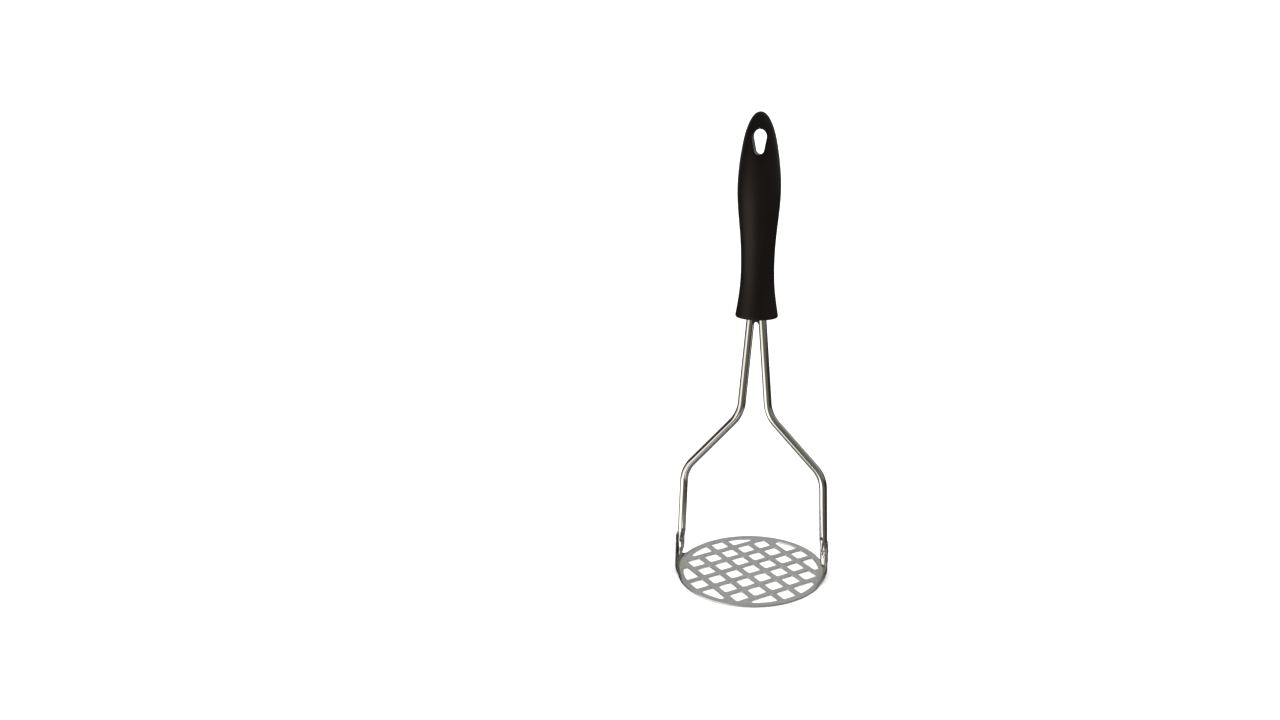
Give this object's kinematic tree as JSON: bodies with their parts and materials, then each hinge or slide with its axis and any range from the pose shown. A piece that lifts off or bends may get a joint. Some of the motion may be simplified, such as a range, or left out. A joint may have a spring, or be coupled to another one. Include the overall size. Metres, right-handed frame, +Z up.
{
  "type": "potato masher",
  "caption": "Hand potato masher: a round perforated plate on two bent rods under a moulded handle with a hanging eye.",
  "frame": {"origin": "centre of the round plate's underside", "axes": "+Z up the handle, X across the two rods, Y through the hanging eye"},
  "size_m": [0.0878, 0.085, 0.2558],
  "materials": {
    "grip_plastic": "satin black moulded plastic",
    "core_plastic": "black moulded insert",
    "rod_steel": "polished stainless rod",
    "plate_steel": "satin stainless sheet",
    "weld_steel": "bare spot weld"
  },
  "bodies": {
    "root": {"grip": "grip_plastic", "handle_core": "core_plastic", "left_rod": "rod_steel", "right_rod": "rod_steel", "masher_plate": "plate_steel", "left_lower_weld": "weld_steel", "left_upper_weld": "weld_steel", "right_lower_weld": "weld_steel", "right_upper_weld": "weld_steel", "tang_lower_weld": "weld_steel", "tang_upper_weld": "weld_steel"}
  },
  "joints": []
}
